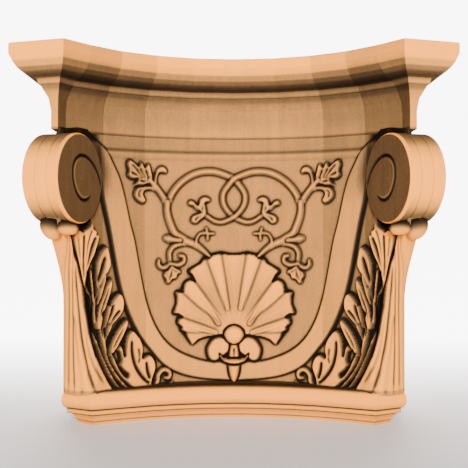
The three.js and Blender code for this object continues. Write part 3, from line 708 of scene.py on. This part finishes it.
def body_half(name, relief, side):
    """One half of the block: the carved front, then a plain side, back and middle plane.
    The front's hollow value, which is painted shade, is 0.375 - 0.06 height, plus the facet's painted shade
    and the motifs' painted shade, plus 0.9 and 0.17 of how far a point lies below the heights close round it
    and further round it, plus 0.2 of the slope, and more under the roll, under the abacus and at the foot."""
    normal = skin_normal(relief.along, relief.level)
    front = skin_plan(relief.along, relief.level) + normal * relief.height[..., None]
    front[:, 0, 0] = 0
    level = relief.level[:, :1]
    corner = skin_plan(np.full_like(level, CORNER_END), level)
    part = np.linspace(0, 1, 14)[1:]
    edge = front[:, -1:]
    forward = edge[..., 1] * (1 - part) + BACK * part
    across = corner[..., 0] + (edge[..., 0] - corner[..., 0]) * (1 - part) ** 4
    flank = np.stack([across, forward], -1)
    back = np.stack([across[:, -1:] * np.array([[0.66, 0.33, 0]]), np.full((len(level), 3), float(BACK))], -1)
    middle_depth = BACK + (front[:, :1, 1] - BACK) * np.array([[0.33, 0.66]])
    middle = np.stack([np.zeros((len(level), 2)), middle_depth], -1)
    ring = np.concatenate([front, flank, back, middle], 1)
    rings = to_space(ring, level)
    rings[..., 0] *= side
    centre = np.array([62 * side, 71, 0])
    beyond = np.clip(rings[..., 0] * side - 104, 0, None) * smooth((ring[..., 1] - 8) / 20)
    rings[..., 0] -= side * 0.16 * beyond * smooth((level - 198) / 4)
    points, faces = closed_skin(rings, centre + [0, 0, BODY_BOTTOM], centre + [0, 0, BODY_TOP])
    # Painted shade: darker in hollows and low places, on steep flanks, under the roll, under the abacus and at
    # the foot; lighter on high places and towards the corner.
    narrow = relief.blurred(1.0) - relief.height
    wide = relief.blurred(2.3) - relief.height
    fall, lean = np.gradient(relief.height, ROW_STEP, COLUMN_STEP)
    slope = np.hypot(fall, lean)
    hollow = 0.375 - 0.06 * np.clip(relief.height, -2, 5) + relief.painted_facet_shade * smooth((112 - relief.along) / 3)
    hollow += relief.paint
    hollow = hollow + 0.9 * np.clip(narrow - 0.05, 0, 1) + 0.17 * np.clip(wide - 0.15, 0, 4)
    hollow += 0.2 * np.clip(slope, 0, 1.6)
    under_roll = smooth((relief.level - 137) / 5) * smooth((172 - relief.level) / 6)
    under_roll = under_roll * smooth((relief.along - 112) / 8)
    foot = smooth((26.4 - relief.level) / 1.8)
    under_abacus = 0.45 * smooth((relief.level - 199) / 4) * smooth((relief.along - 104) / 8)
    hollow = hollow + under_abacus - 0.05 * smooth((relief.along - 112) / 6)
    hollow = hollow + 0.5 * under_roll + (0.6 - 0.3 * smooth((relief.along - 105) / 10)) * foot
    # Painted shade on the plain side: a flat value, darker under the roll and under the abacus towards the
    # front.
    rest = np.full((ring.shape[0], ring.shape[1] - front.shape[1]), 0.12)
    ahead = np.concatenate([1 - part, np.zeros(rest.shape[1] - len(part))])[None, :]
    rest += 0.6 * smooth((level - 137) / 5) * smooth((172 - level) / 6) * smooth(ahead * 2 - 0.9)
    rest += 0.5 * smooth((level - 199) / 4) * smooth(ahead * 2 - 0.9)
    hollow = np.concatenate([hollow, rest], 1)
    return make_piece(name, points, faces, hollow, 80, flat_ends=ring.shape[1])


SPIRAL = [
    (-39, 0.54), (-74, 0.50), (-107, 0.43), (-140, 0.376), (-170, 0.385), (-194, 0.42), (-223, 0.49),
    (-268, 0.51), (-294, 0.53), (-321, 0.586), (-347, 0.716), (-368, 0.874), (-380, 0.99), (-390, 1.09),
]


def spiral_line():
    """The groove on the volute's face: (rearward, up) places from a table of angle and part of the radius."""
    table = np.array(SPIRAL).T
    angle = np.arange(table[0, 0], table[0, -1], -3.0)
    part = np.interp(-angle, -table[0], table[1])
    part = np.convolve(np.pad(part, 5, "edge"), np.ones(11) / 11, "valid")
    angle = np.radians(angle)
    radius = part * VOLUTE_RADIUS
    rearward = 0.08 * VOLUTE_RADIUS + radius * np.cos(angle)
    points = np.stack([rearward, radius * np.sin(angle), np.ones_like(angle)], -1)
    return curve_through(points, per_span=2)


def volute(name, side):
    """A roll: rings of a profile from the middle of one round face, over its rim, along the roll, to the
    other. A spiral groove sinks into each face, and two fine lines run round the roll. Painted shade lies in
    the grooves and lines, over the inner face, over one side of the rim and over the roll's top and underside."""
    r, w = VOLUTE_RADIUS, VOLUTE_WIDTH
    face = np.linspace(0.012, 1, 62) * (r - 1.0)
    bevel = np.linspace(0, math.pi / 2, 7)[1:]
    run = np.concatenate([np.linspace(1.0, w / 3 - 1.1, 8)[1:], w / 3 + np.linspace(-0.9, 0.9, 9)])
    run = np.concatenate([run, w - run[::-1]])
    late = bevel - bevel[0]
    radius = [face, r - 1 + np.sin(bevel), np.full(len(run), r), r - 1 + np.cos(late), face[::-1]]
    radius = np.concatenate(radius)
    depth = np.concatenate([face * 0, 1 - np.cos(bevel), run, w - 1 + np.sin(late), face * 0 + w])
    lines = sum(bell(depth - place, 0.42) for place in (w / 3, 2 * w / 3))
    lines = lines * (radius > r - 0.01)
    angle = np.linspace(0, 2 * math.pi, 241)[:-1]
    u = radius[:, None] * np.cos(angle)
    v = radius[:, None] * np.sin(angle)
    distance, way, _, part = nearest(spiral_line(), u, v)
    on_face = (radius <= r - 0.9)[:, None]
    sunk = 1.3 * bell(distance, 0.75) * smooth(part / 0.06) * on_face
    inner = (np.arange(len(radius)) < len(radius) / 2)[:, None]
    out = depth[:, None] + np.where(inner, sunk, -sunk)
    shrink = (1 - 0.55 * lines / r)[:, None]
    u, v = u * shrink, v * shrink
    cos, sin = math.cos(VOLUTE_TURN), math.sin(VOLUTE_TURN)
    plan = VOLUTE_CENTRE[:2] + np.stack([out * cos - u * sin, -out * sin - u * cos], -1)
    rings = to_space(plan, VOLUTE_CENTRE[2] + v)
    rings[..., 0] *= side
    points, faces = closed_skin(rings, rings[0].mean(0), rings[-1].mean(0))
    inward = distance * way
    # Painted shade in the spiral groove and over the whole inner face; lit_edge is a painted highlight along
    # one side of the groove.
    hollow = 0.6 * bell(distance, 0.95) * smooth(part / 0.06) + 0.57 * on_face * inner
    lit_edge = 0.16 * bell(inward + 1.9, 0.7)
    hollow -= lit_edge * smooth(part / 0.1) * smooth((0.6 - part) / 0.2)
    # Painted shade over one side of the rim's bevel, over the roll's top and underside where the light falls
    # off, and in the two fine lines round the roll.
    rim = (~on_face) & inner & (depth < 2)[:, None]
    on_roll = 0.52 * smooth((np.abs(np.sin(angle)) - 0.35) / 0.6) * (radius > r - 0.9)[:, None]
    on_rim = 0.5 * smooth(np.cos(angle) * 2.5)
    hollow = hollow * on_face + 0.16 * lines[:, None] + 0.02 + np.where(rim, on_rim, on_roll)
    return make_piece(name, points, faces, hollow, 70)


def facet_plan(radius):
    """The five corner points of the four flat facets at a radius about the wall's axis."""
    angle = np.arange(5) * FACET_TURN
    return np.stack([radius * np.sin(angle), WALL_RADIUS - radius * np.cos(angle)], -1)


def whole_ring(half):
    """Both halves of a level's plan, from its right half running from the middle to the back."""
    left = half[:0:-1] * [-1, 1]
    return np.vstack([left, half])


ABACUS_PROFILE = [
    (0, 0.975), (0.8, 0.995), (1.4, 1), (7.4, 1), (7.7, 0.99), (12.8, 0.90), (16.2, 0.80), (18.8, 0.69),
    (21.2, 0.56), (22.0, 0.47), (22.4, 0.36), (22.8, 0.335), (26.6, 0.30), (27, 0.26), (30, 0.19),
    (35.6, 0.06), (44, 0), (50, 0), (ABACUS_HEIGHT, 0),
]
# Painted shade by depth below the top: dark in the quirks, under the mouldings and along the bottom edge.
ABACUS_SHADE = [
    (0, 0), (7, 0), (7.4, 0.04), (8, 0.05), (11.6, 0.08), (12.4, 0.3), (15.6, 0.31), (16.4, 0.46),
    (18.4, 0.47), (19.2, 0.62), (21.6, 0.74), (22.6, 0.5), (24.2, 0.36), (25.7, 0.34), (26.8, 0.5),
    (29, 0.48), (31.2, 0.36), (34, 0.33), (44, 0.31), (54.5, 0.26), (56, 0.5),
]


def abacus():
    """Stacked plans: the wall's facets and the horn's corners, mixed by the moulding's profile. The painted
    shade changes with the depth below the top, and from facet to facet."""
    depth, part = zip(*ABACUS_PROFILE)
    down = np.unique(np.concatenate([np.linspace(0, ABACUS_HEIGHT, 70), depth]))
    share = np.interp(down, depth, part)
    low = np.vstack([facet_plan(WALL_RADIUS), HORN_LOW])
    high = np.vstack([facet_plan(ABACUS_TOP_RADIUS), HORN_HIGH])
    rings = []
    for below, mix in zip(down[::-1], share[::-1]):
        half = low * (1 - mix) + high * mix
        rings.append(to_space(whole_ring(np.vstack([half, [half[-1][0], BACK]])), TOP - below))
    rings = np.array(rings)
    count = rings.shape[1]
    centre = np.array([0, 72, 0])
    points, faces = closed_skin(rings, centre + [0, 0, TOP - ABACUS_HEIGHT], centre + [0, 0, TOP])
    shade_depth, shade_value = zip(*ABACUS_SHADE)
    dark = np.interp(down[::-1], shade_depth, shade_value) + 0.08 * smooth((down[::-1] - 8) / 4)
    hollow = np.repeat(dark, count)
    middle = (count - 1) // 2
    place = np.floor(np.abs(np.arange(count) + 0.5 - middle))
    # Painted shade from facet to facet, stronger near the top, and more on the horn's inner face; the horn's
    # other faces, the sides and the back get a painted highlight.
    weight = np.interp(down[::-1][:-1], [0, 12, 18], [2.4, 1.8, 1.4])[:, None]
    inner_face = np.interp(down[::-1][:-1], [0, 12, 17, 22, 27], [0.19, 0.12, 0.04, 0.06, 0.19])[:, None]
    horn = np.where(place == 4, inner_face, -0.1)
    painted_facet_shade = np.concatenate([np.where(place < 4, weight * painted_shade_of_facet(place), horn).ravel(), [0, 0]])
    return make_piece("abacus", points, faces, hollow, 9, painted_facet_shade, flat_ends=count)


BASE_PROFILE = [
    (0, 0), (2.2, 0), (2.6, 1.0), (5, 1.9), (7.0, 3.8), (7.9, 5.6), (8.1, 6.9), (11.3, 7.0), (11.6, 7.2),
    (12.2, 8.6), (13.6, 9.8), (15.4, 10.4), (17.4, 10.6), (19.4, 10.4), (21.4, 9.8), (22.8, 8.9),
    (23.8, 7.7), (24.5, 6.2), (BASE_HEIGHT, 3.6),
]


def base_moulding():
    """Stacked plans: five flat facets a side on an arc, each level standing proud by the moulding's
    profile."""
    rise = BASE_CORNER[0][1] - BASE_MIDDLE
    radius = (BASE_CORNER[0][0] ** 2 + rise**2) / (2 * rise)
    sweep = math.asin(BASE_CORNER[0][0] / radius)
    level, proud = zip(*BASE_PROFILE)
    up = np.unique(np.concatenate([np.linspace(0, BASE_HEIGHT, 46), level]))
    out = np.interp(up, level, proud)
    angle = np.linspace(0, sweep, 6)
    rings = []
    for z, reach in zip(up, out):
        inner = radius - reach
        arc = np.stack([inner * np.sin(angle), BASE_MIDDLE + radius - inner * np.cos(angle)], -1)
        arc[-1, 0] += 0.6 * reach
        side = BASE_CORNER[1] + [reach, 0.7 * reach]
        rings.append(to_space(whole_ring(np.vstack([arc, side, [side[0], BACK]])), z))
    rings = np.array(rings)
    centre = np.array([0, PANEL_Y + 40, 0])
    points, faces = closed_skin(rings, centre, centre + [0, 0, BASE_HEIGHT])
    # Painted shade: dark lines in the quirks and near the bottom, a dark band along the top under the body,
    # and a little more over the lower half.
    dark = 0.6 * bell(up - 11.6, 0.7) + 0.5 * bell(up - 7.8, 0.6)
    dark = dark + 0.8 * smooth((up - 22.4) / 2.8) + 0.3 * bell(up - 2.4, 0.5)
    dark = dark + 0.17 * smooth((17 - up) / 3) + 0.06 * smooth((8 - up) / 2)
    hollow = np.repeat(dark, rings.shape[1])
    return make_piece("base_moulding", points, faces, hollow, 9)


def leaf_tip(name, side):
    """The leaf's tip, curled over under the volute: a lip swept round the corner along a quadratic curve,
    in three lobes, the middle one drooping furthest. Its reach and its droop are 0.6 + size x bulge, with
    bulge 0.68 + 0.32 sin(pi x part of the lobe)^0.6, times (16 part (1 - part))^0.5 near the path's ends,
    and its top rises 9 (1 - part^2) + 0.5."""
    part = np.linspace(0, 1, 121)[:, None]
    turn = np.linspace(0, 2 * math.pi, 45)[:-1][None, :]
    start, bend, end = np.array([[127.4, 57], [126.4, 80], [104.5, 71]])
    path = (1 - part) ** 2 * start + 2 * part * (1 - part) * bend + part**2 * end
    along = 2 * (1 - part) * (bend - start) + 2 * part * (end - bend)
    outward = np.stack([along[:, 1], -along[:, 0]], -1) / np.hypot(along[:, :1], along[:, 1:])
    bounds = np.array([0, 0.2, 0.64, 1.0])
    lobe = np.clip(np.searchsorted(bounds, part[:, 0], "right") - 1, 0, 2)
    inside = (part[:, 0] - bounds[lobe]) / (bounds[lobe + 1] - bounds[lobe])
    bulge = 0.68 + 0.32 * np.sin(math.pi * np.clip(inside, 0, 1))[:, None] ** 0.6
    bulge = bulge * np.clip(16 * part * (1 - part), 0, 1) ** 0.5
    reach = 0.6 + np.array([5, 7.2, 5])[lobe][:, None] * bulge
    droop = 0.6 + np.array([5, 8.2, 4.6])[lobe][:, None] * bulge
    out = reach * np.cos(turn)
    upper = 9 * (1 - part**2) + 0.5
    up = np.sin(turn) * np.where(np.sin(turn) > 0, upper, droop) + 0.25 * reach * np.cos(turn)
    plan = path[:, None, :] + outward[:, None, :] * out[..., None]
    rings = to_space(plan, TIP_LEVEL + up)
    rings[..., 0] *= side
    points, faces = closed_skin(rings, rings[0].mean(0), rings[-1].mean(0))
    # Painted shade: dark over the lip's top, fading to light on its underside, darker where the lobes meet and
    # towards the path's ends, and dark at the poles.
    hollow = 0.9 * smooth((np.sin(turn) + 0.9) / 1.5) + 0.9 * (1 - bulge) + 0.04
    return make_piece(name, points, faces, hollow, 80, poles=0.7)


# --------------------------------------------------------------- material


class Socket:
    """A shader socket. Sums, differences and products add Math nodes."""

    def __init__(self, tree, socket):
        self.tree = tree
        self.socket = socket

    def node(self, kind, settings=(), output=0, **inputs):
        """Adds a node: its settings first, then the values or links of its inputs, by name or number."""
        made = self.tree.nodes.new(kind)
        for key, value in dict(settings).items():
            if key == "stops":
                set_stops(made.color_ramp, value)
            else:
                setattr(made, key, value)
        for key, value in inputs.items():
            place = int(key[1:]) if key[0] == "_" and key[1:].isdigit() else key.replace("_", " ")
            if isinstance(value, Socket):
                self.tree.links.new(value.socket, made.inputs[place])
            else:
                made.inputs[place].default_value = value
        return Socket(self.tree, made.outputs[output])

    def math(self, operation, *values):
        inputs = {f"_{i}": value for i, value in enumerate(values)}
        return self.node("ShaderNodeMath", {"operation": operation}, **inputs)

    def __add__(self, other):
        return self.math("ADD", self, other)

    def __radd__(self, other):
        return self.math("ADD", other, self)

    def __sub__(self, other):
        return self.math("SUBTRACT", self, other)

    def __rsub__(self, other):
        return self.math("SUBTRACT", other, self)

    def __mul__(self, other):
        return self.math("MULTIPLY", self, other)

    def __rmul__(self, other):
        return self.math("MULTIPLY", other, self)


def set_stops(ramp, stops):
    """Gives a colour ramp its stops, each a place and a linear colour."""
    while len(ramp.elements) < len(stops):
        ramp.elements.new(0.5)
    for element, (place, colour) in zip(ramp.elements, stops):
        element.position = place
        element.color = (*colour, 1)


# The ramp from the pale wood at 0 to near black; the hollow value's painted shade, with the wood's own tone,
# moves along it.
WOOD_AND_SHADE_STOPS = [
    (0.0, (0.98, 0.315, 0.022)), (0.28, (0.6, 0.225, 0.036)), (0.37, (0.37, 0.153, 0.038)),
    (0.46, (0.19, 0.095, 0.033)), (0.6, (0.083, 0.046, 0.02)), (0.76, (0.032, 0.019, 0.01)),
    (1.0, (0.007, 0.005, 0.0035)),
]


def carved_wood():
    """Pale wood with a fine speckle, darkening to near black with the hollow value, which is painted shade."""
    material = bpy.data.materials.new("carved_wood")
    material.use_nodes = True
    tree = material.node_tree
    shader = next(n for n in tree.nodes if n.type == "BSDF_PRINCIPLED")
    wood = Socket(tree, None)
    place = wood.node("ShaderNodeTexCoord", output="Object")
    hollow = wood.node("ShaderNodeAttribute", {"attribute_name": "hollow"}, output="Fac")
    speckle = wood.node("ShaderNodeTexNoise", Vector=place, Scale=1500.0, Detail=2.0, Roughness=0.6)
    cloud = wood.node("ShaderNodeTexNoise", Vector=place, Scale=42.0, Detail=3.0, Roughness=0.55)
    stretched = wood.node("ShaderNodeMapping", Vector=place, Scale=(260.0, 260.0, 16.0))
    grain = wood.node("ShaderNodeTexNoise", Vector=stretched, Scale=1.0, Detail=4.0, Roughness=0.6)
    tone = (speckle - 0.5) * 0.55 + (cloud - 0.5) * 0.16 + (grain - 0.5) * 0.2 + 0.5
    shade_and_tone = hollow + (tone - 0.5) * 0.42
    colour = wood.node("ShaderNodeValToRGB", {"stops": WOOD_AND_SHADE_STOPS}, Fac=shade_and_tone)
    rough = 0.58 + 0.12 * (speckle - 0.5) + 0.14 * hollow
    bump = wood.node("ShaderNodeBump", Strength=0.25, Distance=0.0002, Height=speckle * 0.6 + grain * 0.4)
    tree.links.new(colour.socket, shader.inputs["Base Color"])
    tree.links.new(rough.socket, shader.inputs["Roughness"])
    tree.links.new(bump.socket, shader.inputs["Normal"])
    shader.inputs["Specular IOR Level"].default_value = 0.0
    return material


# --------------------------------------------------------------- assembly

right = relief_of_half(True)
left = relief_of_half(False)
pieces = [
    body_half("carved_body_right", right, 1),
    body_half("carved_body_left", left, -1),
    volute("volute_right", 1),
    volute("volute_left", -1),
    abacus(),
    base_moulding(),
    leaf_tip("leaf_tip_right", 1),
    leaf_tip("leaf_tip_left", -1),
]

wood = carved_wood()
for piece in pieces:
    piece.data.materials.append(wood)
    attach(piece, "root")
    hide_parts("capital")


# ------------------------------------------------------- floor and lights


def backdrop():
    """A pale sweep: a floor that turns up into a wall along a quarter circle. It glows behind the
    capital, and the glow fades out to both sides."""
    turn = np.linspace(0, math.pi / 2, 17)
    depth = np.concatenate([[-3.0, 0.6], 0.6 + 1.6 * np.sin(turn[1:]), [2.2]])
    height = np.concatenate([[0, 0], 1.6 * (1 - np.cos(turn[1:])), [4.0]])
    across = np.array([-5.0, 5.0])
    points = np.stack([np.broadcast_to(across, (len(depth), 2)), np.repeat(depth[:, None], 2, 1),
                       np.repeat(height[:, None], 2, 1)], -1).reshape(-1, 3)
    i = np.arange(len(depth) - 1) * 2
    faces = np.stack([i, i + 1, i + 3, i + 2], -1)
    mesh = bpy.data.meshes.new("backdrop")
    mesh.from_pydata(points.tolist(), [], faces.tolist())
    mesh.shade_smooth()
    sweep = bpy.data.objects.new("backdrop", mesh)
    bpy.context.scene.collection.objects.link(sweep)
    paint = bpy.data.materials.new("pale_paper")
    paint.use_nodes = True
    shader = next(n for n in paint.node_tree.nodes if n.type == "BSDF_PRINCIPLED")
    shader.inputs["Base Color"].default_value = (0.9, 0.9, 0.9, 1)
    shader.inputs["Roughness"].default_value = 0.9
    glow = Socket(paint.node_tree, None)
    place = glow.node("ShaderNodeTexCoord", output="Object")
    apart = glow.node("ShaderNodeSeparateXYZ", output="Y", Vector=place)
    gradual = {"interpolation_type": "SMOOTHSTEP"}
    behind = glow.node("ShaderNodeMapRange", gradual, Value=apart, From_Min=-0.02, From_Max=0.6)
    beside = glow.node("ShaderNodeSeparateXYZ", output="X", Vector=place)
    between = glow.node("ShaderNodeMapRange", gradual, Value=beside * beside, From_Min=1.5, From_Max=0.6)
    black, white = (0, 0, 0, 1), (1, 1, 1, 1)
    mix = {"data_type": "RGBA"}
    colour = glow.node("ShaderNodeMix", mix, output=2, _0=behind * between, _6=black, _7=white)
    paint.node_tree.links.new(colour.socket, shader.inputs["Emission Color"])
    shader.inputs["Emission Strength"].default_value = 7
    mesh.materials.append(paint)


def area_light(name, place, target, size, power):
    """A square soft light turned to face a target."""
    data = bpy.data.lights.new(name, "AREA")
    data.size = size
    data.energy = power
    lamp = bpy.data.objects.new(name, data)
    bpy.context.scene.collection.objects.link(lamp)
    lamp.location = place
    way = lamp.location.copy()
    way.x, way.y, way.z = (t - p for t, p in zip(target, place))
    lamp.rotation_euler = way.to_track_quat("-Z", "Y").to_euler()


def world(strength):
    """An even white surround."""
    scene_world = bpy.data.worlds.new("studio")
    bpy.context.scene.world = scene_world
    scene_world.use_nodes = True
    background = next(n for n in scene_world.node_tree.nodes if n.type == "BACKGROUND")
    background.inputs["Color"].default_value = (1, 1, 1, 1)
    background.inputs["Strength"].default_value = strength


def camera():
    """A level camera straight in front, a little above half height."""
    data = bpy.data.cameras.new("camera")
    data.lens = CAMERA_LENS
    data.sensor_width = 36
    data.dof.use_dof = False
    eye = bpy.data.objects.new("camera", data)
    bpy.context.scene.collection.objects.link(eye)
    eye.location = (0, (PANEL_Y - CAMERA_DISTANCE) / MM_PER_METRE, CAMERA_HEIGHT)
    eye.rotation_euler = (math.pi / 2, 0, 0)
    bpy.context.scene.camera = eye


backdrop()
world(0.05)
area_light("key", (0, -2.0, 0.5), (0, 0, 0.13), 0.5, 112)
camera()
